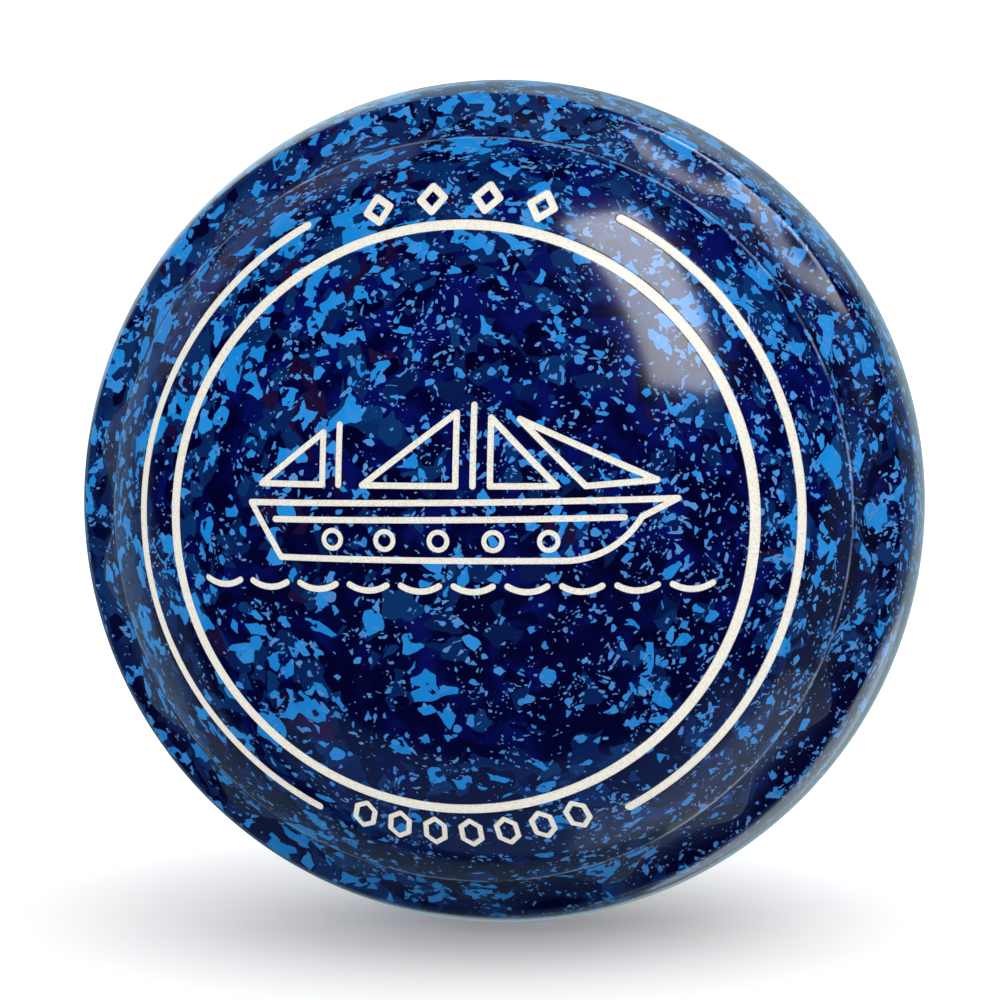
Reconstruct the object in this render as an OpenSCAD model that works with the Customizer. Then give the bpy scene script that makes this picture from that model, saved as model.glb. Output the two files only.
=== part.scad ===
// Lawn bowl: a weighty ball with flattened sides that rolls on its rounded edge.
// The turning axis lies along Y, the large ring side faces -Y and the small ring side faces +Y.
// The origin is the centre of the bowl, half way between the two side poles.

/* [Bowl] */
// Diameter at the running line, where the bowl is largest
run_d = 122.2; // [121:0.1:123.5]
// Width from pole to pole along the turning axis
bowl_w = 114.8; // [114:0.1:115.6]
// How far the running line lies from the middle, towards the large ring side
run_offset = 0.3; // [0:0.1:0.6]
// Radius of the rounded running surface across its width
crown_r = 47; // [46:0.5:50]
// Half the width of the running surface, from the running line to the crease
crown_h = 17.8; // [17.2:0.1:18.4]
// Radius of the domed sides
face_r = 58.3; // [58:0.1:59]
// Radius of the ball-shaped core
core_r = 45; // [40:0.5:46]
// Depth of the small flats at the core's two poles
core_flat = 0.2; // [0.1:0.05:0.4]

/* [Grip] */
// Radius of the edge where a domed side ends and the grip band starts
ridge_r = 51.1; // [50.8:0.1:51.4]
// Step from that edge down to the floor of the band
wall_h = 1.3; // [1:0.1:1.6]
// How far the floor of the band is hollowed below a straight line
band_sag = 1.1; // [0.8:0.1:1.4]
// Number of scoops round each side
scoops = 18; // [18:1:18]
// Radius of the cutter that makes a scoop
scoop_r = 9.5; // [9.2:0.1:9.7]
// Distance of the scoops' centres from the turning axis
scoop_x = 55.2; // [55:0.1:55.4]
// Distance of the lands' tips from the turning axis
tip_x = 54.8; // [54.4:0.1:55]
// How far the tips of the lands stand above the floor
tip_h = 1.1; // [0.8:0.1:1.3]
// Step from the edge down to the lands
lip_h = 0.35; // [0.2:0.05:0.5]

/* [Engraving] */
// Depth of the engraved lines, square to the domed side
groove_d = 0.5; // [0.4:0.05:0.7]
// How far the paint lies below the surface
paint_gap = 0.08; // [0.04:0.01:0.15]
// Radius of the ring line, at the middle of the line
ring_r = 38.6; // [38:0.1:39]
// Width of the ring line
ring_w = 1.4; // [1:0.1:1.6]
// Radius of the two arc lines
arc_r = 44.5; // [44.3:0.1:44.8]
// Width of the arc lines
arc_w = 1.2; // [1:0.1:1.3]
// Half the angle that each arc line spans
arc_half = 62.5; // [58:0.5:64]
// Turn of the ring, arcs and marks against the emblem
legend_turn = 1; // [-3:0.5:3]
// Radius of the circle on which the marks stand
mark_r = 42.4; // [42.2:0.1:42.5]
// Height of a mark
mark_h = 4.6; // [4:0.1:4.8]
// Width of the strokes in the top marks
top_stroke = 1; // [0.8:0.1:1.1]
// Width of the strokes in the bottom marks
bottom_stroke = 0.75; // [0.6:0.05:0.9]
// Width of the emblem's lines
emblem_w = 0.85; // [0.7:0.05:0.9]
// Size of the small ring side's engraving against the large one's
small_scale = 0.62; // [0.58:0.01:0.66]

/* [Hidden] */
TOP_MARKS = 4;
BOTTOM_MARKS = 7;
LINES = ["ring_line", "left_arc_line", "right_arc_line"];
EMBLEM = [
    "hull_line", "deck_line", "ports", "main_mast", "mizzen_mast",
    "mainsail", "mizzen_sail", "inner_jib", "outer_jib", "waves"
];
SIDE = concat(
    LINES,
    [for (i = [1:TOP_MARKS]) str("top_mark_", i)],
    [for (i = [1:BOTTOM_MARKS]) str("bottom_mark_", i)],
    EMBLEM
);

// Number of straight steps in a full turn of the large round surfaces
turn_fn = 240;
// Number of straight steps in the round ends of lines and in the scoops
fine_fn = 96;
run_r = run_d / 2;
pole = bowl_w / 2;
face_z = pole - face_r;
ridge_z = face_z + sqrt(face_r * face_r - ridge_r * ridge_r);
floor_z = ridge_z - wall_h;
// Height at which the running half and the domed half of a side meet, inside the hollowed ring
seam_z = 24;
crease_x = run_r - crown_r + sqrt(crown_r * crown_r - crown_h * crown_h);
// Corners of the emblem's hull, and the height of the sails' feet
stern = [-26.5, 2.4];
stern_foot = [-22.2, -4.6];
bow = [29, 3.2];
bilge_r = 11;
bilge_c = [15, stern_foot[1] + bilge_r];
foot_y = 4.9;
// Height range of the tools that cut the engraved lines
tool_low = 25;
tool_high = pole + 2;

// Side of the bowl as [height of the running line, size of the engraving]
LARGE = [run_offset, 1];
SMALL = [-run_offset, small_scale];

// Geometry of the band, from the crease to the foot of the ridge's wall
function crease(side) = [crease_x, side[0] + crown_h];
function foot() = [ridge_r, floor_z];
function span(side) = foot() - crease(side);
// Unit vector pointing out of the band
function outward(side) = [span(side)[1], -span(side)[0]] / norm(span(side));
function band_r(side) = (pow(norm(span(side)) / 2, 2) + band_sag * band_sag) / (2 * band_sag);
function band_centre(side) =
    (foot() + crease(side)) / 2 + outward(side) * (band_r(side) - band_sag);
// Height of the band's floor at a given distance from the turning axis
function floor_at(side, x) =
    band_centre(side)[1] - sqrt(pow(band_r(side), 2) - pow(x - band_centre(side)[0], 2));

// Turns a side from its own frame, with its pole up, to its place on the bowl
module face_large() {
    rotate([90, 0, 0]) children();
}
module face_small() {
    rotate([90, 0, 180]) children();
}

// ---- Shells ----

// Half section of the running half of a side, up to the seam below its dome
module running_profile(side) {
    intersection() {
        translate([run_r - crown_r, side[0]]) circle(r = crown_r, $fn = turn_fn);
        translate([0, side[0]]) square([run_r + 1, seam_z - side[0]]);
    }
}

// Domed half of a side, from the seam up
module dome() {
    intersection() {
        face_ball(0);
        translate([-run_r, -run_r, seam_z]) cube([run_d, run_d, pole]);
    }
}

// Half section of the cutter that leaves the ridge's wall and the hollowed floor of the band
module band_profile(side) {
    intersection() {
        translate(band_centre(side)) circle(r = band_r(side), $fn = turn_fn);
        translate([ridge_r, 0]) square([run_r, pole]);
    }
}

// Half section of the ring from which the scoops leave the lands
module land_profile(side) {
    tip = [tip_x, floor_at(side, tip_x) + tip_h];
    edge = [ridge_r, ridge_z - lip_h];
    inward = -3 * outward(side);
    start = edge + (edge - tip) / norm(edge - tip);
    polygon([start, tip, tip + inward, start + inward]);
}

// Pointed lands round the ridge, left standing between the scoops
module lands(side) {
    tilt = atan2(outward(side)[0], outward(side)[1]);
    difference() {
        rotate_extrude($fn = turn_fn) land_profile(side);
        for (i = [0:scoops - 1])
            rotate([0, 0, i * 360 / scoops])
                translate([scoop_x, 0, floor_at(side, scoop_x)])
                    rotate([0, tilt, 0])
                        cylinder(h = 4 * scoop_r, r = scoop_r, center = true, $fn = fine_fn);
    }
}

// Ball that fills the shells, flattened a little at its two poles
module core_ball() {
    rotate_extrude($fn = turn_fn)
        intersection() {
            circle(r = core_r, $fn = turn_fn);
            translate([0, core_flat - core_r]) square([core_r + 1, 2 * (core_r - core_flat)]);
        }
}

// One moulded side with its engraved lines cut in
module side_shell(side) {
    difference() {
        union() {
            difference() {
                union() {
                    rotate_extrude($fn = turn_fn) running_profile(side);
                    dome();
                }
                rotate_extrude($fn = turn_fn) band_profile(side);
            }
            lands(side);
        }
        core_ball();
        for (line = SIDE)
            difference() {
                line_tool(line, side[1]);
                face_ball(groove_d);
            }
    }
}

// ---- Engraved lines ----

// Ball whose surface lies a given depth below the domed side, with its seam at the back
module face_ball(depth) {
    translate([0, 0, face_z])
        rotate([0, 90, 0])
            rotate([90, 0, 0])
                sphere(r = face_r - depth, $fn = turn_fn);
}

// Half-round end of a line, on the far side of the Y axis
module round_end(w) {
    rotate_extrude(angle = 180, $fn = fine_fn)
        translate([0, tool_low]) square([w / 2, tool_high - tool_low]);
}

// Straight line between two points, with round ends
module line_between(a, b, w) {
    translate([a[0], a[1], 0])
        rotate([0, 0, atan2(b[1] - a[1], b[0] - a[0])]) {
            translate([0, -w / 2, tool_low]) cube([norm(b - a), w, tool_high - tool_low]);
            rotate([0, 0, 90]) round_end(w);
            translate([norm(b - a), 0, 0]) rotate([0, 0, -90]) round_end(w);
        }
}

// Corner of a closed outline moved outwards by d, where its two edges' parallels meet
function moved_corner(points, i, d) =
    let (
        n = len(points),
        p = points[i],
        before = (p - points[(i + n - 1) % n]) / norm(p - points[(i + n - 1) % n]),
        after = (points[(i + 1) % n] - p) / norm(points[(i + 1) % n] - p),
        bisector = [before[1] + after[1], -before[0] - after[0]]
    )
    p + bisector * d * 2 / (bisector * bisector);

// Line of constant width along a closed outline, given anticlockwise
module outline(points, w) {
    translate([0, 0, tool_low])
        linear_extrude(tool_high - tool_low)
            difference() {
                polygon([for (i = [0:len(points) - 1]) moved_corner(points, i, w / 2)]);
                polygon([for (i = [0:len(points) - 1]) moved_corner(points, i, -w / 2)]);
            }
}

// Part of a circular line with square ends
module arc_tool(centre, r, from, to, w) {
    translate([centre[0], centre[1], 0])
        rotate_extrude(angle = to - from, start = from, $fn = turn_fn)
            translate([r - w / 2, tool_low]) square([w, tool_high - tool_low]);
}

// Full circular line
module ring_tool(centre, r, w) {
    translate([centre[0], centre[1], 0])
        rotate_extrude($fn = turn_fn)
            translate([r - w / 2, tool_low]) square([w, tool_high - tool_low]);
}

// Hollow lozenge standing on the circle of marks
module top_mark(i, k) {
    step = 10;
    half = [1.6 * k, (mark_h - top_stroke) / 2 * k];
    angle = 90 + legend_turn + (TOP_MARKS + 1 - 2 * i) / 2 * step;
    rotate([0, 0, angle - 90])
        translate([0, mark_r * k, 0])
            outline([[half[0], 0], [0, half[1]], [-half[0], 0], [0, -half[1]]], top_stroke * k);
}

// Hollow six-sided mark standing on the circle of marks
module bottom_mark(i, k) {
    step = 6.6;
    half = [1.45 * k, (mark_h - bottom_stroke) / 2 * k];
    angle = -90 + legend_turn + (2 * i - BOTTOM_MARKS - 1) / 2 * step;
    rotate([0, 0, angle + 90])
        translate([0, -mark_r * k, 0])
            outline([for (a = [30:60:330]) [half[0] * cos(a), half[1] * sin(a)]], bottom_stroke * k);
}

// Width of the emblem's lines on a side whose engraving has size k
function emblem_line(k) = emblem_w * (1 + k) / 2;

// Emblem: a two-masted sailing boat on waves, drawn in lines

module hull_line(k) {
    bilge = [for (a = [-90:10:-30]) bilge_c + bilge_r * [cos(a), sin(a)]];
    outline(concat([stern_foot], bilge, [bow, stern]) * k, emblem_line(k));
}

module deck_line(k) {
    line_between([-23, 0.3] * k, [22.4, 0.88] * k, emblem_line(k));
}

module ports(k) {
    for (x = [-15:7:13])
        ring_tool([x, -2.1] * k, 1.15 * k, emblem_line(k) * 0.8);
}

module main_mast(k) {
    line_between([3.4, foot_y] * k, [3.4, 15.2] * k, emblem_line(k));
}

module mizzen_mast(k) {
    line_between([-14.2, foot_y] * k, [-14.2, 12.6] * k, emblem_line(k));
}

module mainsail(k) {
    outline([[1.2, foot_y], [1.2, 14.2], [-11, foot_y]] * k, emblem_line(k));
}

module mizzen_sail(k) {
    outline([[-16.4, foot_y], [-16.4, 11.6], [-25, foot_y]] * k, emblem_line(k));
}

module inner_jib(k) {
    outline([[5.6, foot_y], [14, foot_y], [5.6, 13.6]] * k, emblem_line(k));
}

module outer_jib(k) {
    outline([[17.6, foot_y], [26.4, foot_y + 0.7], [9.2, 13.4]] * k, emblem_line(k));
}

// Row of wave crests under the hull
module waves(k) {
    wave_r = 4.6;
    half = 38;
    step = 6.85;
    for (i = [-4.5:1:4.5])
        arc_tool([i * step, wave_r - 8.6] * k, wave_r * k, -90 - half, -90 + half, emblem_line(k));
}

// Cutting tool for one named line of a side, at the side's scale
module line_tool(line, k) {
    if (line == "ring_line") ring_tool([0, 0], ring_r * k, ring_w);
    if (line == "left_arc_line")
        arc_tool([0, 0], arc_r * k, 180 + legend_turn - arc_half, 180 + legend_turn + arc_half, arc_w);
    if (line == "right_arc_line")
        arc_tool([0, 0], arc_r * k, legend_turn - arc_half, legend_turn + arc_half, arc_w);
    for (i = [1:TOP_MARKS])
        if (line == str("top_mark_", i)) top_mark(i, k);
    for (i = [1:BOTTOM_MARKS])
        if (line == str("bottom_mark_", i)) bottom_mark(i, k);
    if (line == "hull_line") hull_line(k);
    if (line == "deck_line") deck_line(k);
    if (line == "ports") ports(k);
    if (line == "main_mast") main_mast(k);
    if (line == "mizzen_mast") mizzen_mast(k);
    if (line == "mainsail") mainsail(k);
    if (line == "mizzen_sail") mizzen_sail(k);
    if (line == "inner_jib") inner_jib(k);
    if (line == "outer_jib") outer_jib(k);
    if (line == "waves") waves(k);
}

// Paint that fills one engraved line, a little below the surface
module paint(line, k) {
    color("ivory")
        difference() {
            intersection() {
                line_tool(line, k);
                face_ball(paint_gap);
            }
            face_ball(groove_d);
        }
}

// ---- Sub-parts ----

// Solid ball of dark resin inside the two shells, its flats towards the poles
module core() {
    color([0.06, 0.05, 0.05]) face_large() core_ball();
}

// Speckled blue shell on the large ring side
module large_ring_side_shell() {
    color([0.05, 0.1, 0.4]) face_large() side_shell(LARGE);
}

// Speckled blue shell on the small ring side
module small_ring_side_shell() {
    color([0.05, 0.1, 0.4]) face_small() side_shell(SMALL);
}

core();
large_ring_side_shell();
small_ring_side_shell();
for (line = SIDE) {
    face_large() paint(line, LARGE[1]);
    face_small() paint(line, SMALL[1]);
}
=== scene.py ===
import math

import bpy
import numpy as np
from mathutils import Matrix, Vector
from mathutils.geometry import delaunay_2d_cdt


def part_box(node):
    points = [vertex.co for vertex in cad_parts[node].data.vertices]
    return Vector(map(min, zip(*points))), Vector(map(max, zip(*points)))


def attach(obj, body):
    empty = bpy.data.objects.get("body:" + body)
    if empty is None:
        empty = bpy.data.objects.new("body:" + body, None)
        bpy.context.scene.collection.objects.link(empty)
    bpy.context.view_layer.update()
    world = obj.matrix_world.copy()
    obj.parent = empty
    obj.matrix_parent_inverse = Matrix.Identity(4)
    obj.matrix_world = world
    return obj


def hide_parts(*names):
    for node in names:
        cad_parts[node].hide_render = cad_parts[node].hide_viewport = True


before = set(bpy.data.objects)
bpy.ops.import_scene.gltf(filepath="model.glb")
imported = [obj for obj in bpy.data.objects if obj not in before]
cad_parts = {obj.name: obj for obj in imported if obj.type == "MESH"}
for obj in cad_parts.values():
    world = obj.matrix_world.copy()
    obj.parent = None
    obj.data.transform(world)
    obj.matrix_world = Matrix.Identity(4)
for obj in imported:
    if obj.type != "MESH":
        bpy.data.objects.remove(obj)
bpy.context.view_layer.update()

MM = 0.001

# ---- Sizes, in millimetres. A side's own frame has its pole up along Z, X to the right and Y up ----
shell_low, shell_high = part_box("large_ring_side_shell")
RUN_R = shell_high.x / MM
POLE = -shell_low.y / MM
RUN_OFFSET = -shell_high.y / MM
CORE_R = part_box("core")[1].x / MM
CROWN_R = 47.0
CROWN_H = 17.8
FACE_R = 58.3
FACE_Z = POLE - FACE_R
RIDGE_R = 51.1
EDGE_R = 50.4  # where the face's mesh meets the mesh of the ridge and band
RIDGE_Z = FACE_Z + math.sqrt(FACE_R**2 - RIDGE_R**2)
CREASE_R = RUN_R - CROWN_R + math.sqrt(CROWN_R**2 - CROWN_H**2)
SCOOPS = 18
COLUMNS = 648  # points in each row round the turning axis
# A scoop's upper wall lies this far down the band in its middle, and lower by the wave's height at its ends
WALL_START, WAVE_HEIGHT, WAVE_POWER = 0.45, 7.0, 1.2

RING_R, RING_W = 38.6, 1.4
ARC_R, ARC_W, ARC_HALF = 44.5, 1.2, 62.5
LEGEND_TURN = 1.0
MARK_R, MARK_H = 42.4, 4.6
TOP_STROKE, BOTTOM_STROKE = 1.0, 0.75
TOP_MARKS, BOTTOM_MARKS = 4, 7
TOP_REACH, BOTTOM_REACH = 1.6, 1.45  # half a mark's width, to the middle of its line
TOP_PITCH, BOTTOM_PITCH = 10, 6.6  # degrees from mark to mark
EMBLEM_W = 0.85
FOOT_Y = 4.9  # height of the sails' and masts' feet
PORT_W = 0.8  # width of the ports' lines, as a share of the emblem's
CREST_R, CREST_Y, CREST_HALF, CREST_PITCH = 4.6, -8.6, 38, 6.85
SMALL_SCALE = 0.62


# ---- Engraved lines: corners along the middle of the line, closed or open, and the line's width ----
def turned(points, degrees):
    """Points of the plane turned anticlockwise about its middle."""
    a = math.radians(degrees)
    turn = np.array([[math.cos(a), math.sin(a)], [-math.sin(a), math.cos(a)]])
    return np.asarray(points, float) @ turn


def arc_points(centre, r, start, end, step_mm=0.3):
    count = max(6, int(math.radians(end - start) * r / step_mm))
    a = np.radians(np.linspace(start, end, count + 1))
    return np.stack([centre[0] + r * np.cos(a), centre[1] + r * np.sin(a)], 1)


def ring_points(centre, r):
    return arc_points(centre, r, 0, 360)[:-1]


def lines_of_side(k):
    """Every engraved line of a side whose engraving has size k, as {name: [(points, closed, width)]}."""
    emblem = EMBLEM_W * (1 + k) / 2
    found = {"ring_line": [(ring_points((0, 0), RING_R * k), True, RING_W)]}
    # A line's ends are round here, so that its middle stops half a width before the end
    half = ARC_HALF - math.degrees(ARC_W / 2 / (ARC_R * k))
    for name, middle in (("left_arc_line", 180), ("right_arc_line", 0)):
        middle += LEGEND_TURN
        found[name] = [(arc_points((0, 0), ARC_R * k, middle - half, middle + half), False, ARC_W)]
    for i in range(1, TOP_MARKS + 1):
        reach = (TOP_REACH * k, (MARK_H - TOP_STROKE) / 2 * k)
        lozenge = [(reach[0], 0), (0, reach[1]), (-reach[0], 0), (0, -reach[1])]
        angle = LEGEND_TURN + (TOP_MARKS + 1 - 2 * i) / 2 * TOP_PITCH
        found[f"top_mark_{i}"] = [(turned(np.add(lozenge, (0, MARK_R * k)), angle), True, TOP_STROKE * k)]
    for i in range(1, BOTTOM_MARKS + 1):
        reach = (BOTTOM_REACH * k, (MARK_H - BOTTOM_STROKE) / 2 * k)
        a = np.radians(np.arange(30, 390, 60))
        six = np.stack([reach[0] * np.cos(a), reach[1] * np.sin(a) - MARK_R * k], 1)
        angle = LEGEND_TURN + (2 * i - BOTTOM_MARKS - 1) / 2 * BOTTOM_PITCH
        found[f"bottom_mark_{i}"] = [(turned(six, angle), True, BOTTOM_STROKE * k)]
    # The boat: its hull with a rounded bilge, its deck, ports, masts and sails, and the waves below it
    bilge = arc_points((15, 6.4), 11, -90, -30)
    hull = np.concatenate([[(-22.2, -4.6)], bilge, [(29, 3.2), (-26.5, 2.4)]])
    found["hull_line"] = [(hull * k, True, emblem)]
    found["deck_line"] = [(np.array([(-23, 0.3), (22.4, 0.88)]) * k, False, emblem)]
    found["ports"] = [
        (ring_points((x * k, -2.1 * k), 1.15 * k), True, emblem * PORT_W) for x in range(-15, 14, 7)
    ]
    for name, x, top in (("main_mast", 3.4, 15.2), ("mizzen_mast", -14.2, 12.6)):
        found[name] = [(np.array([(x, FOOT_Y), (x, top)]) * k, False, emblem)]
    sails = {
        "mainsail": [(1.2, FOOT_Y), (1.2, 14.2), (-11, FOOT_Y)],
        "mizzen_sail": [(-16.4, FOOT_Y), (-16.4, 11.6), (-25, FOOT_Y)],
        "inner_jib": [(5.6, FOOT_Y), (14, FOOT_Y), (5.6, 13.6)],
        "outer_jib": [(17.6, FOOT_Y), (26.4, FOOT_Y + 0.7), (9.2, 13.4)],
    }
    for name, corners in sails.items():
        found[name] = [(np.array(corners) * k, True, emblem)]
    half = CREST_HALF - math.degrees(emblem / 2 / (CREST_R * k))
    found["waves"] = [
        (
            arc_points((i * CREST_PITCH * k, (CREST_R + CREST_Y) * k), CREST_R * k, -90 - half, -90 + half),
            False,
            emblem,
        )
        for i in np.arange(-4.5, 5)
    ]
    return found


# ---- Outlines parallel to a line ----
ARC_STEP = math.radians(15)
SHARP = math.radians(12)  # corners that turn more than this are rounded on their outer side
SPACING = 0.3  # of the points along a straight stretch


def loop_of(points, closed):
    """Closed loop that walks a line: round it where it is closed, there and back where it is open."""
    points = [np.array(p, float) for p in points]
    return points if closed else points + points[-2:0:-1]


def parallel(loop, h):
    """Points of the outline that runs h to the right of a loop, and at each the direction away from it.
    The number of points is the same at each h."""
    n = len(loop)
    ends = []
    for i in range(n):
        p = loop[i]
        before = p - loop[i - 1]
        after = loop[(i + 1) % n] - p
        before /= np.linalg.norm(before)
        after /= np.linalg.norm(after)
        n0 = np.array([before[1], -before[0]])
        n1 = np.array([after[1], -after[0]])
        cross = before[0] * after[1] - before[1] * after[0]
        turn = math.atan2(cross, float(before @ after))
        # An open line's loop turns right back at its ends
        if abs(abs(turn) - math.pi) < 1e-6:
            turn = math.pi
        if turn > SHARP:
            steps = max(2, math.ceil(turn / ARC_STEP))
            start = math.atan2(n0[1], n0[0])
            fan = [start + turn * j / steps for j in range(steps + 1)]
            normals = [np.array([math.cos(a), math.sin(a)]) for a in fan]
            corner = [(p + h * m, m) for m in normals]
        else:
            mitre = (n0 + n1) / (1 + float(n0 @ n1))
            corner = [(p + h * mitre, mitre / np.linalg.norm(mitre))]
        ends.append(corner)
    result = []
    for i in range(n):
        result += ends[i]
        a, b = ends[i][-1][0], ends[(i + 1) % n][0][0]
        edge = loop[(i + 1) % n] - loop[i]
        length = np.linalg.norm(edge)
        parts = max(1, round(length / SPACING))
        side = np.array([edge[1], -edge[0]]) / length
        result += [(a + (b - a) * (j / parts), side) for j in range(1, parts)]
    places, directions = zip(*result)
    return np.array(places), np.array(directions)


def loops_of(points, closed):
    """Loops whose right-hand sides are the line's edges: both ways round, or there and back if it is open."""
    loop = loop_of(points, closed)
    if not closed:
        return [loop]
    area = sum(loop[i - 1][0] * p[1] - loop[i - 1][1] * p[0] for i, p in enumerate(loop))
    if area < 0:
        loop = loop[::-1]
    return [loop, loop[::-1]]


# ---- Meshes ----
def on_face(xy, depth):
    """Points of the domed side at a depth below it, square to it, and the dome's normals there."""
    r = FACE_R - depth
    p = np.column_stack([xy, np.sqrt(r * r - (xy**2).sum(1))])
    return p + (0, 0, FACE_Z), p / np.linalg.norm(p, axis=1)[:, None]


def tilted(normals, away, degrees):
    """Normals leant over towards the middle of a line, against the directions that point away from it."""
    lean = np.column_stack([away, np.zeros(len(away))])
    lean -= normals * (lean * normals).sum(1)[:, None]
    lean /= np.maximum(np.linalg.norm(lean, axis=1), 1e-9)[:, None]
    a = np.radians(degrees)
    return normals * np.cos(a) - lean * np.sin(a)


def to_world(p, small):
    """From a side's own frame to the part's frame: the large ring side faces -Y, the small one +Y."""
    x, y, z = np.asarray(p).T
    return np.column_stack([-x, z, y] if small else [x, -z, y])


def new_piece(name, points, normals, faces, small):
    """Smooth object in metres, from points and normals in a side's own frame."""
    mesh = bpy.data.meshes.new(name)
    mesh.from_pydata((to_world(points, small) * MM).tolist(), [], faces)
    mesh.shade_smooth()
    mesh.normals_split_custom_set_from_vertices(to_world(normals, small).tolist())
    mesh.update()
    piece = bpy.data.objects.new(name, mesh)
    bpy.context.scene.collection.objects.link(piece)
    return piece


# Section of a groove: distance outside the line's edge, depth below the face, lean of the surface
GROOVE = [(0.11, 0.0, 0), (0.055, 0.01, 20), (0.01, 0.04, 50), (-0.03, 0.12, 74), (-0.07, 0.40, 70)]
GROOVE_FLOOR = 0.44
# Section of the paint in it
PAINT = [(-0.02, 0.115, 45), (-0.08, 0.135, 20), (-0.22, 0.165, 7)]
PAINT_MIDDLE = 0.175
PAINT_LOW = 0.42
PAINT_MIN = 0.08  # half the width below which a step of that section is left out
GRID_GAP, GRID_CLEAR = 0.9, 0.45  # spacing of the dome's own points, and their distance from a line


def face_mesh(lines):
    """Height field of the domed side out to EDGE_R, with its grooves. The first points are the outer ring."""
    ring_a = np.arange(COLUMNS) * 2 * math.pi / COLUMNS
    ring = EDGE_R * np.stack([np.cos(ring_a), np.sin(ring_a)], 1)
    groups = [(ring, ring, 0.0, 0)]
    edges = [(i, (i + 1) % COLUMNS) for i in range(COLUMNS)]
    count = COLUMNS
    middles, halves = [], []
    for line in lines.values():
        for points, closed, width in line:
            for loop in loops_of(points, closed):
                for out, depth, lean in GROOVE:
                    xy, away = parallel(loop, width / 2 + out)
                    groups.append((xy, away, depth, lean))
                    edges += [(count + i, count + (i + 1) % len(xy)) for i in range(len(xy))]
                    count += len(xy)
            xy, away = parallel(loops_of(points, closed)[0], 0.0)
            keep = np.unique(np.round(xy, 5), axis=0, return_index=True)[1]
            groups.append((xy[keep], away[keep], GROOVE_FLOOR, 0))
            count += len(keep)
            middles.append(xy[keep])
            halves.append(np.full(len(keep), width / 2))
    middles, halves = np.concatenate(middles), np.concatenate(halves)
    # Background of evenly spaced points, clear of the lines
    across = np.arange(-EDGE_R, EDGE_R, GRID_GAP)
    rows = np.arange(-EDGE_R, EDGE_R, GRID_GAP * math.sqrt(3) / 2)
    grid = np.concatenate([
        np.stack([across + GRID_GAP / 2 * (i % 2), np.full(len(across), y)], 1) for i, y in enumerate(rows)
    ])
    grid = grid[(grid**2).sum(1) < (EDGE_R - 0.5) ** 2]
    clear = np.ones(len(grid), bool)
    for start in range(0, len(grid), 500):
        part = grid[start:start + 500]
        d = np.sqrt(((part[:, None] - middles[None]) ** 2).sum(2)) - halves[None]
        clear[start:start + 500] = d.min(1) > GRID_CLEAR
    grid = grid[clear]
    groups.append((grid, grid, 0.0, 0))
    xy = np.concatenate([g[0] for g in groups])
    away = np.concatenate([g[1] for g in groups])
    depth = np.concatenate([np.full(len(g[0]), g[2]) for g in groups])
    lean = np.concatenate([np.full(len(g[0]), float(g[3])) for g in groups])
    out = delaunay_2d_cdt([Vector(p) for p in xy], edges, [], 0, 1e-6)
    used = np.array([o[0] if o else -1 for o in out[3]])
    if (used < 0).any():
        raise RuntimeError("two engraved outlines cross")
    faces = [tuple(f) for f in out[2]]
    points, base = on_face(xy[used], depth[used])
    normals = np.empty_like(base)
    for value in np.unique(lean):
        at = lean[used] == value
        normals[at] = base[at] if value == 0 else tilted(base[at], away[used][at], value)
    place = {int(s): i for i, s in enumerate(used)}
    return points, normals, faces, [place[i] for i in range(COLUMNS)]


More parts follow.
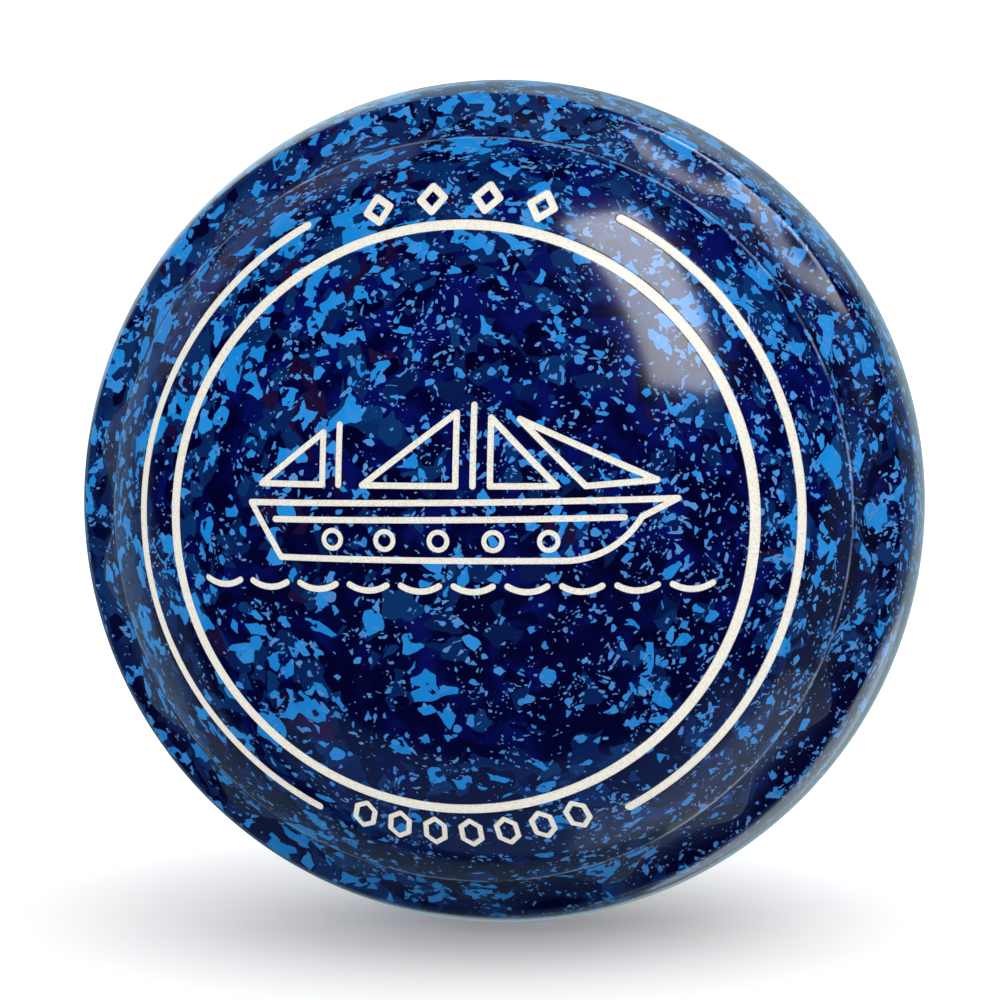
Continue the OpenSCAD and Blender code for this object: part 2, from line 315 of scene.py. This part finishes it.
# ---- Ridge, lands, band and running surface, as rows of points round the turning axis ----
def band_rows(run_offset):
    """Rows of (r, z) from the ridge to the running line, each with a value for every column."""
    turn = np.arange(COLUMNS) * 2 * math.pi / COLUMNS
    crease = np.array([CREASE_R, run_offset + CROWN_H])
    ridge = np.array([RIDGE_R, RIDGE_Z])
    span = crease - ridge
    length = np.linalg.norm(span)
    along = span / length
    out = np.array([-along[1], along[0]])
    wave = ((1 - np.cos(SCOOPS * turn)) / 2) ** WAVE_POWER
    edge = WALL_START + WAVE_HEIGHT * wave
    # The lands between the scoops fade out where the wall nears the ridge
    land = np.clip((edge - WALL_START) / 1.2, 0, 1)
    land = land * land * (3 - 2 * land)
    lip, wall_run = 0.3, 0.6
    # How far each edge's rounding reaches before it and past it
    ridge_back, lip_on = 0.4, 0.18
    land_back, land_on = 0.35, 0.3
    foot_back, foot_on = 0.4, 0.6
    crease_round = 0.8
    # Depth of the hollowed floor, most in the middle of a scoop, and where down the band it lies
    deep = 1.6 + 0.4 * np.cos(SCOOPS * turn)
    middle = 5.0

    def at(s, h):
        """(r, z) of points s down the band and h out of it."""
        return ridge[:, None] + along[:, None] * s + out[:, None] * h

    def floor(s):
        after, before = (s - middle) / (length - middle), (middle - s) / middle
        return -deep * (1 - np.where(s > middle, after**2, 0.6 * before**2))

    def land_h(s):
        return -(0.16 + 0.02 * s) * land

    # Each edge v is rounded from a, before it, to b, after it. They are the ridge, the lip just past it where
    # the land begins, the land's edge, the foot of the wall and the crease
    one = np.ones(COLUMNS)
    back = math.asin(RIDGE_R / FACE_R) - ridge_back / FACE_R
    a1 = np.stack([FACE_R * math.sin(back) * one, (FACE_Z + FACE_R * math.cos(back)) * one])
    v1 = at(0 * one, 0 * one)
    v2 = at(lip * one, land_h(lip * one))
    b1 = (v1 + v2) / 2
    v3 = at(edge, land_h(edge))
    v4 = at(edge + wall_run, floor(edge + wall_run))
    land_step = v3 - v2
    land_len = np.linalg.norm(land_step, axis=0)
    b2 = v2 + land_step * (np.minimum(lip_on, 0.45 * land_len) / land_len)
    a3 = v3 - land_step * (np.minimum(land_back, 0.5 * land_len) / land_len)
    wall_step = v4 - v3
    wall_len = np.linalg.norm(wall_step, axis=0)
    b3 = v3 + wall_step * (land_on / wall_len)
    a4 = v4 - wall_step * (np.minimum(foot_back, 0.5 * wall_len) / wall_len)
    s4 = edge + wall_run + foot_on
    b4 = at(s4, floor(s4))
    v5 = crease[:, None] * one
    s5 = length - crease_round * one
    a5 = at(s5, floor(s5))

    def crown(angle):
        r, z = RUN_R - CROWN_R + CROWN_R * math.cos(angle), run_offset + CROWN_R * math.sin(angle)
        return np.stack([r * one, z * one])

    past = math.asin(CROWN_H / CROWN_R) - crease_round / CROWN_R
    b5 = crown(past)

    def bend(a, v, b, steps):
        """Rows of the rounding between a and b, which touches both slopes."""
        shares = [j / steps for j in range(1, steps)]
        return [a * (1 - t) ** 2 + v * 2 * t * (1 - t) + b * t * t for t in shares]

    rows = [a1] + bend(a1, v1, b1, 4) + [b1] + bend(b1, v2, b2, 3) + [b2]
    rows += [b2 + (a3 - b2) * t for t in (0.25, 0.5, 0.75)] + [a3]
    rows += bend(a3, v3, b3, 4) + [b3, (b3 + a4) / 2, a4] + bend(a4, v4, b4, 5) + [b4]
    floor_steps = [s4 + (s5 - s4) * t for t in np.linspace(0, 1, 10)[1:-1]]
    rows += [at(s, floor(s)) for s in floor_steps] + [a5]
    rows += bend(a5, v5, b5, 5) + [b5]
    rows += [crown(past * (1 - t)) for t in np.linspace(0, 1, 17)[1:]]
    return rows


def body_piece(name, small):
    """Closed body of one side: face, ridge, band and running surface, flat joint and hollow for the core."""
    k, run_offset = (SMALL_SCALE, -RUN_OFFSET) if small else (1.0, RUN_OFFSET)
    points, normals, faces, ring = face_mesh(lines_of_side(k))
    turn = np.arange(COLUMNS) * 2 * math.pi / COLUMNS
    rows = band_rows(run_offset)
    outer = len(rows)
    # The flat joint with the other shell, and the hollow round the core
    inner_r = math.sqrt(CORE_R**2 - run_offset**2)
    one = np.ones(COLUMNS)
    rows += [np.stack([r * one, run_offset * one]) for r in (RUN_R - 1.5, (RUN_R + inner_r) / 2, inner_r)]
    start = math.asin(run_offset / CORE_R)
    for angle in np.linspace(start, math.pi / 2, 17)[1:-1]:
        rows.append(np.stack([CORE_R * math.cos(angle) * one, CORE_R * math.sin(angle) * one]))
    grid = np.array([np.column_stack([r[0] * np.cos(turn), r[0] * np.sin(turn), r[1]]) for r in rows])
    with_ring = np.concatenate([points[ring][None], grid])
    # Normals from the slope down and round the rows, one-sided at the sharp running line and on the joint
    down = np.empty_like(grid)
    down[:-1] = with_ring[2:] - with_ring[:-2]
    down[-1] = grid[-1] - grid[-2]
    down[outer - 1] = grid[outer - 1] - grid[outer - 2]
    for i in (outer, outer + 1):
        down[i] = grid[i] - grid[i - 1]
    down[outer + 2] = grid[outer + 2] - grid[outer + 1]
    around = np.roll(grid, -1, 1) - np.roll(grid, 1, 1)
    n = np.cross(down, around)
    n /= np.linalg.norm(n, axis=2)[:, :, None]
    n[outer + 3:] = -grid[outer + 3:] / CORE_R
    first = len(points)
    points = np.concatenate([points, grid.reshape(-1, 3), [(0, 0, CORE_R)]])
    normals = np.concatenate([normals, n.reshape(-1, 3), [(0, 0, -1)]])

    def row_index(i):
        return ring if i < 0 else [first + i * COLUMNS + j for j in range(COLUMNS)]

    for i in range(-1, len(rows) - 1):
        a, b = row_index(i), row_index(i + 1)
        for j in range(COLUMNS):
            jj = (j + 1) % COLUMNS
            faces.append((a[j], b[j], b[jj], a[jj]))
    last, tip = row_index(len(rows) - 1), len(points) - 1
    faces += [(last[j], tip, last[(j + 1) % COLUMNS]) for j in range(COLUMNS)]
    return new_piece(name, points, normals, faces, small)


def paint_piece(name, strokes, small):
    """Paint in the grooves of one named line: a closed thin body with a slightly hollow top."""
    all_points, all_normals, all_faces = [], [], []
    for points, closed, width in strokes:
        half = width / 2
        # Its section from the middle of the underside, up its edge and over to the middle of the top
        levels = [level for level in PAINT if half + level[0] > PAINT_MIN]
        under = [(-half, PAINT_LOW, 180), (levels[0][0], PAINT_LOW, -85)]
        section = under + levels + [(-half, PAINT_MIDDLE, 0)]
        xy, away, depth, lean, strips = [], [], [], [], []
        start = 0
        for loop in loops_of(points, closed):
            chain = []
            for out, d, tilt in section:
                p, a = parallel(loop, max(0.0, half + out))
                chain.append(range(start, start + len(p)))
                start += len(p)
                xy.append(p)
                away.append(a)
                depth.append(np.full(len(p), d))
                lean.append(np.full(len(p), float(tilt)))
            for outer_row, inner_row in zip(chain[:-1], chain[1:]):
                m = len(outer_row)
                for j in range(m):
                    jj = (j + 1) % m
                    strips.append((outer_row[j], outer_row[jj], inner_row[jj], inner_row[j]))
        xy, away = np.concatenate(xy), np.concatenate(away)
        depth, lean = np.concatenate(depth), np.concatenate(lean)
        p3, base = on_face(xy, depth)
        n3 = np.empty_like(base)
        for value in np.unique(lean):
            at = lean == value
            n3[at] = tilted(base[at], away[at], value)
        # Weld points that fall together, as along the middle of the line
        _, first_at, back = np.unique(np.round(p3 * 1e4), axis=0, return_index=True, return_inverse=True)
        back = back.reshape(-1)
        offset = sum(len(x) for x in all_points)
        for f in strips:
            g = []
            for v in f:
                w = int(back[v]) + offset
                if w not in g:
                    g.append(w)
            if len(g) > 2:
                all_faces.append(tuple(g))
        all_points.append(p3[first_at])
        all_normals.append(n3[first_at])
    return new_piece(name, np.concatenate(all_points), np.concatenate(all_normals), all_faces, small)


# ---- Materials ----
def rgb(r, g, b):
    """Colour as seen on a screen, 0 to 255, as Blender's linear colour."""
    c = np.array([r, g, b]) / 255
    return tuple(np.where(c < 0.04045, c / 12.92, ((c + 0.055) / 1.055) ** 2.4)) + (1.0,)


class Nodes:
    """Short calls that build a material's node tree."""

    def __init__(self, name):
        self.material = bpy.data.materials.new(name)
        self.material.use_nodes = True
        self.tree = self.material.node_tree
        self.shader = self.tree.nodes["Principled BSDF"]

    def set(self, socket, value):
        if isinstance(value, bpy.types.NodeSocket):
            self.tree.links.new(value, socket)
        else:
            socket.default_value = value

    def node(self, kind, inputs=None, **settings):
        n = self.tree.nodes.new(kind)
        for key, value in settings.items():
            setattr(n, key, value)
        for key, value in (inputs or {}).items():
            self.set(n.inputs[key], value)
        return n

    def math(self, operation, a, b=0.0, c=0.0, clamp=False):
        n = self.node("ShaderNodeMath", operation=operation, use_clamp=clamp)
        for socket, value in zip(n.inputs, (a, b, c)):
            self.set(socket, value)
        return n.outputs[0]

    def vector(self, operation, a, b=None, scale=None):
        n = self.node("ShaderNodeVectorMath", operation=operation)
        self.set(n.inputs[0], a)
        if b is not None:
            self.set(n.inputs[1], b)
        if scale is not None:
            self.set(n.inputs["Scale"], scale)
        return n.outputs[0]

    def noise(self, where, scale, detail=2.0, rough=0.5, colour=False):
        inputs = {"Vector": where, "Scale": scale, "Detail": detail, "Roughness": rough}
        n = self.node("ShaderNodeTexNoise", inputs)
        return n.outputs["Color" if colour else "Fac"]

    def cells(self, where, size):
        """Three random numbers, the same all over a cell of about that size in millimetres."""
        scaled = self.vector("SCALE", where, scale=1 / size)
        n = self.node("ShaderNodeTexVoronoi", {"Vector": scaled, "Scale": 1.0}, feature="F1")
        return self.node("ShaderNodeSeparateColor", {"Color": n.outputs["Color"]}).outputs

    def range(self, value, low, high, to_low=0.0, to_high=1.0, smooth=False):
        n = self.node("ShaderNodeMapRange", interpolation_type="SMOOTHSTEP" if smooth else "LINEAR")
        keys = ("Value", "From Min", "From Max", "To Min", "To Max")
        for key, v in zip(keys, (value, low, high, to_low, to_high)):
            self.set(n.inputs[key], v)
        return n.outputs["Result"]

    def mix(self, factor, a, b):
        n = self.node("ShaderNodeMix", data_type="RGBA")
        # A mix of colours has its factor, its two colours and its result at these places
        for index, value in ((0, factor), (6, a), (7, b)):
            self.set(n.inputs[index], value)
        return n.outputs[2]

    def ramp(self, value, stops):
        n = self.node("ShaderNodeValToRGB", {"Fac": value})
        ramp = n.color_ramp
        while len(ramp.elements) < len(stops):
            ramp.elements.new(1.0)
        for element, (position, colour) in zip(ramp.elements, stops):
            element.position = position
            element.color = colour
        return n.outputs["Color"]


def millimetres(m):
    """The object's own coordinates, in millimetres."""
    return m.vector("SCALE", m.node("ShaderNodeTexCoord").outputs["Object"], scale=1000.0)


def warped(m, where, size, amount, detail=1.0):
    """Coordinates moved by up to about half of amount, in millimetres, by noise of that size."""
    push = m.vector("SUBTRACT", m.noise(where, 1 / size, detail, colour=True), (0.5, 0.5, 0.5))
    return m.vector("ADD", where, m.vector("SCALE", push, scale=amount))


def speckle_material():
    m = Nodes("speckled_resin")
    place = millimetres(m)
    # Slow flow of the compound, which stretches and lines up what lies in it
    flow = warped(m, place, 9.0, 4.0)
    soft = warped(m, flow, 2.2, 0.9)
    ragged = warped(m, soft, 0.9, 0.4, 2.0)
    drawn = warped(m, warped(m, place, 5.0, 5.0), 0.8, 0.35)
    across, along_axis, up = m.node("ShaderNodeSeparateXYZ", {"Vector": place}).outputs
    flat = m.vector("MULTIPLY", place, (1.0, 0.0, 1.0))
    span = m.node("ShaderNodeVectorMath", {0: flat}, operation="LENGTH").outputs["Value"]
    # Flakes and patches crowd together in places, more so at the top, on the left and away from the middle
    lean = m.math("MULTIPLY_ADD", span, 0.0016, m.range(across, -32.0, 25.0, 0.05, -0.08))
    lean = m.math("MULTIPLY_ADD", up, 0.0023, lean)
    crowd = m.range(m.math("ADD", m.noise(place, 1 / 11.0, 2.0), lean), 0.40, 0.70, 0.2, 3.2)
    # Specks do so in other places, and they are fewer on the left
    thin = m.math("MULTIPLY_ADD", up, 0.0004, m.range(across, -30.0, 20.0, -0.1, 0.02))
    swarm = m.range(m.math("ADD", m.noise(place, 1 / 6.0, 1.0), thin), 0.38, 0.66, 0.2, 1.6)

    def flakes(colour, where, size, portion, tint, vary, seed):
        """Adds flakes: cells of one size in millimetres, of which that portion shows, between two colours."""
        chance, tone, _ = m.cells(m.vector("ADD", where, (seed * 17.3, seed * 5.1, seed * 9.7)), size)
        on = m.math("LESS_THAN", chance, portion)
        return m.mix(on, colour, m.mix(tone, tint, vary))

    def share(mask, amount):
        return m.math("MULTIPLY", mask, amount)

    # Ground: dark blues in soft-edged patches, navy, teal and aubergine
    depth = m.math("MULTIPLY_ADD", up, 0.0034, m.noise(flow, 1 / 5.0, 2.0))
    ground = m.ramp(depth, [(0.38, rgb(0, 0, 40)), (0.5, rgb(0, 2, 54)), (0.64, rgb(1, 9, 86))])
    patches = share(crowd, m.range(span, 28.0, 50.0, 0.8, 1.75))
    ground = flakes(ground, soft, 3.4, share(patches, 0.16), rgb(2, 19, 70), rgb(4, 36, 92), 11)
    ground = flakes(ground, soft, 2.6, share(patches, 0.12), rgb(3, 28, 80), rgb(5, 50, 106), 12)
    ground = flakes(ground, soft, 4.2, share(crowd, 0.022), rgb(20, 8, 48), rgb(32, 15, 58), 13)
    ground = flakes(ground, soft, 2.4, 0.15, rgb(0, 0, 38), rgb(1, 2, 50), 14)
    # Light chips, with bites out of them, then specks and slivers
    chips = flakes(ground, soft, 3.9, share(crowd, 0.025), rgb(10, 127, 207), rgb(24, 134, 213), 6)
    chips = flakes(chips, ragged, 2.4, share(crowd, 0.046), rgb(12, 127, 207), rgb(32, 136, 214), 5)
    chips = flakes(chips, ragged, 1.5, share(crowd, 0.042), rgb(20, 127, 206), rgb(46, 139, 215), 4)
    bite = m.cells(m.vector("ADD", ragged, (3.1, 8.2, 1.7)), 1.0)[0]
    colour = m.mix(m.math("LESS_THAN", bite, 0.13), chips, ground)
    colour = flakes(colour, ragged, 0.85, share(swarm, 0.050), rgb(34, 124, 202), rgb(64, 140, 212), 3)
    colour = flakes(colour, drawn, 0.55, share(swarm, 0.048), rgb(62, 126, 194), rgb(86, 144, 208), 2)
    colour = flakes(colour, drawn, 0.28, share(swarm, 0.03), rgb(70, 124, 186), rgb(92, 140, 200), 1)
    # Painted shade: lower down the colour is mixed towards dark navy, so the lower part and its flakes look
    # darker and duller
    colour = m.mix(m.range(up, -50.0, 8.0, 0.26, 0.0), colour, rgb(1, 8, 48))

    def near(value, middle, half):
        """1 at a value, 0 from half away."""
        away = m.math("ABSOLUTE", m.math("SUBTRACT", value, middle))
        return m.range(away, 0.3 * half, half, 1.0, 0.0, smooth=True)

    # Painted highlight: a fine bright line along the turned ridge; and painted shade: a dark line just
    # outside it
    ridge_highlight_paint = m.range(m.noise(place, 1 / 9.0, 3.0), 0.38, 0.62, 0.04, 0.6)
    colour = m.mix(m.math("MULTIPLY", near(span, RIDGE_R - 0.05, 0.2), ridge_highlight_paint), colour, rgb(150, 166, 204))
    colour = m.mix(m.math("MULTIPLY", near(span, RIDGE_R + 0.28, 0.17), 0.7), colour, rgb(1, 1, 22))
    # Painted shade at the foot of the scoops' walls, from the distance down the band and the turn round the
    # axis
    slope = np.array([CREASE_R - RIDGE_R, RIDGE_Z - CROWN_H])
    along = slope / np.linalg.norm(slope)
    start = RIDGE_Z * along[1] - RIDGE_R * along[0]
    down = m.math("MULTIPLY_ADD", m.math("ABSOLUTE", along_axis), -along[1], start)
    down = m.math("MULTIPLY_ADD", span, along[0], down)
    lobes = m.math("COSINE", m.math("MULTIPLY", m.math("ARCTAN2", up, across), SCOOPS))
    wave = m.math("POWER", m.math("MULTIPLY_ADD", lobes, -0.5, 0.5, clamp=True), WAVE_POWER)
    past = m.math("SUBTRACT", down, m.math("MULTIPLY_ADD", wave, WAVE_HEIGHT, WALL_START))
    foot = m.math("MULTIPLY", near(past, 0.4, 0.5), m.range(down, 3.5, 6.0, 0.85, 0.0, smooth=True))
    foot = m.math("MULTIPLY", foot, m.range(down, 0.1, 0.4))
    # The painted shade darkens the colour towards near-black navy there
    colour = m.mix(foot, colour, rgb(2, 1, 20))
    m.set(m.shader.inputs["Base Color"], colour)
    # The scooped band is less polished than the sides and the running surface
    matt = m.math("MULTIPLY", m.range(down, 0.3, 1.0), m.range(down, 8.0, 11.5, 1.0, 0.0))
    m.set(m.shader.inputs["Roughness"], m.math("MULTIPLY_ADD", matt, 0.13, 0.13))
    m.set(m.shader.inputs["Specular IOR Level"], m.math("MULTIPLY_ADD", matt, -0.2, 0.5))
    m.shader.inputs["IOR"].default_value = 1.52
    return m.material


def paint_material():
    m = Nodes("engraving_paint")
    place = millimetres(m)
    grain = m.noise(place, 4.0, 3.0, 0.6)
    colour = m.ramp(grain, [(0.3, rgb(212, 205, 190)), (0.5, rgb(236, 232, 219)), (0.7, rgb(248, 246, 238))])
    m.set(m.shader.inputs["Base Color"], colour)
    m.set(m.shader.inputs["Roughness"], 0.45)
    bump = m.node("ShaderNodeBump", {"Height": grain, "Strength": 0.25, "Distance": 0.00005})
    m.set(m.shader.inputs["Normal"], bump.outputs[0])
    return m.material


def core_material():
    m = Nodes("dark_core_resin")
    place = millimetres(m)
    grain = m.noise(place, 1.3, 4.0, 0.6)
    colour = m.ramp(grain, [(0.3, rgb(20, 18, 20)), (0.7, rgb(52, 46, 44))])
    m.set(m.shader.inputs["Base Color"], colour)
    m.set(m.shader.inputs["Roughness"], 0.6)
    return m.material


speckle, paint_look, core_look = speckle_material(), paint_material(), core_material()

# ---- Pieces ----
for small, side in ((False, "large"), (True, "small")):
    body = body_piece(f"{side}_ring_side_body", small)
    body.data.materials.append(speckle)
    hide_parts(f"{side}_ring_side_shell")
    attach(body, "root")
    for line, strokes in lines_of_side(SMALL_SCALE if small else 1.0).items():
        piece = paint_piece(f"{side}_{line}_paint", strokes, small)
        piece.data.materials.append(paint_look)
        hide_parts(f"{side}_{line}")
        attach(piece, "root")

core_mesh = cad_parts["core"].data
core_mesh.materials.clear()
core_mesh.materials.append(core_look)


# ---- Stage, light and camera ----
STAGE_HALF = 4.0


def stage_piece(name, outline):
    """Part of the pale floor and its curved back, along a line of (y, z) in metres above the floor."""
    mesh = bpy.data.meshes.new(name)
    verts = [(x, y, z - RUN_R * MM) for y, z in outline for x in (-STAGE_HALF, STAGE_HALF)]
    mesh.from_pydata(verts, [], [(2 * i, 2 * i + 1, 2 * i + 3, 2 * i + 2) for i in range(len(outline) - 1)])
    mesh.shade_smooth()
    mesh.materials.append(stage_look)
    piece = bpy.data.objects.new(name, mesh)
    bpy.context.scene.collection.objects.link(piece)
    piece.visible_glossy = False


pale = Nodes("pale_stage")
pale.set(pale.shader.inputs["Base Color"], (0.9, 0.9, 0.9, 1))
pale.set(pale.shader.inputs["Roughness"], 0.9)
pale.set(pale.shader.inputs["Emission Color"], (1, 1, 1, 1))
pale.set(pale.shader.inputs["Emission Strength"], 0.25)
stage_look = pale.material
sweep = [(0.9 + 0.6 * math.sin(a), 0.6 - 0.6 * math.cos(a)) for a in np.linspace(0, math.pi / 2, 16)[1:]]
stage_piece("floor", [(-3.0, 0.0), (0.0, 0.0)])
stage_piece("backdrop", [(0.0, 0.0), (0.9, 0.0)] + sweep + [(1.5, 3.0)])

world = bpy.data.worlds.new("studio")
world.use_nodes = True
background = world.node_tree.nodes["Background"]
background.inputs["Color"].default_value = (1.0, 1.0, 1.0, 1)
background.inputs["Strength"].default_value = 0.92
bpy.context.scene.world = world
world.cycles_visibility.glossy = False

# The camera looks at the bowl's middle, from a little to the right and a little above
distance, azimuth, elevation = 7 * RUN_R * MM, math.radians(7.3), math.radians(3.0)
to_camera = Vector((
    math.sin(azimuth) * math.cos(elevation), -math.cos(azimuth) * math.cos(elevation), math.sin(elevation),
))


def heading(from_axis, turn):
    """Direction at an angle from the camera's axis and a turn round that axis from the right, in degrees."""
    right = Vector((0, 0, 1)).cross(to_camera).normalized()
    out = right * math.cos(math.radians(turn)) + to_camera.cross(right) * math.sin(math.radians(turn))
    return to_camera * math.cos(math.radians(from_axis)) + out * math.sin(math.radians(from_axis))


def light(name, middle, long_way, length, width, radiance, colour=(1, 1, 1), seen="glossy"):
    """Rectangular light, in metres, that shines towards the bowl, in reflections only or on surfaces only."""
    data = bpy.data.lights.new(name, "AREA")
    data.shape = "RECTANGLE"
    data.size, data.size_y = length, width
    data.energy = radiance * math.pi * length * width
    data.color = colour
    away = middle.normalized()
    along = (long_way - away * long_way.dot(away)).normalized()
    holder = bpy.data.objects.new(name, data)
    axes = Matrix((along, away.cross(along), away)).transposed().to_4x4()
    holder.matrix_world = Matrix.Translation(middle) @ axes
    holder.visible_camera = False
    holder.visible_diffuse = seen == "diffuse"
    holder.visible_glossy = seen == "glossy"
    bpy.context.scene.collection.objects.link(holder)


def strip(name, start, end, wide, radiance, colour, reach=1.2):
    """Light seen in reflections, stretched between two headings and so many degrees wide."""
    a, b = heading(*start), heading(*end)
    length = 2 * reach * math.tan(a.angle(b) / 2)
    width = 2 * reach * math.tan(math.radians(wide / 2))
    light(name, (a + b).normalized() * reach, a - b, length, width, radiance, colour)


# The window, then the bright room round and behind the bowl, which makes the haze along its rim
strip("window", (90, 72), (59, 32), 20, 7.2, (0.9, 0.94, 1.0))
strip("behind", (138, 90), (151, -52), 50, 0.5, (0.67, 0.9, 0.95), 1.3)
strip("behind_up", (130, 104), (131, 34), 14, 0.42, (0.6, 0.85, 1.0))
strip("behind_left", (158, 168), (150, 104), 16, 0.42, (0.72, 0.9, 1.0))
strip("behind_down", (132, -22), (135, -66), 29, 0.6, (0.86, 0.94, 1.0))
strip("right_edge", (110, -30), (108, -78), 20, 0.38, (0.72, 0.82, 1.0))
strip("left_wall", (134, 140), (134, 215), 26, 0.22, (0.5, 0.74, 1.0))
strip("below", (96, -36), (92, -135), 40, 0.42, (0.22, 0.42, 1.0))
strip("top_left", (119, 160), (119, 104), 14, 0.30, (0.72, 0.76, 1.0))
light("table", Vector((0, 0.13, 0.001 - RUN_R * MM)), Vector((1, 0, 0)), 1.2, 0.34, 0.17, (0.5, 0.78, 1.0))
light("sky", heading(70, 75) * 1.5, Vector((1, 0, 0)), 1.4, 1.4, 1.1, seen="diffuse")

camera = bpy.data.objects.new("camera", bpy.data.cameras.new("camera"))
camera.data.sensor_width = 36.0
camera.data.lens = 105.25
camera.data.clip_start = 0.01
camera.location = to_camera * distance
camera.rotation_euler = (-Vector(camera.location)).to_track_quat("-Z", "Y").to_euler()
camera.data.shift_x = -0.003
camera.data.shift_y = 0.0014
bpy.context.scene.collection.objects.link(camera)
bpy.context.scene.camera = camera
bpy.context.scene.view_settings.view_transform = "Standard"
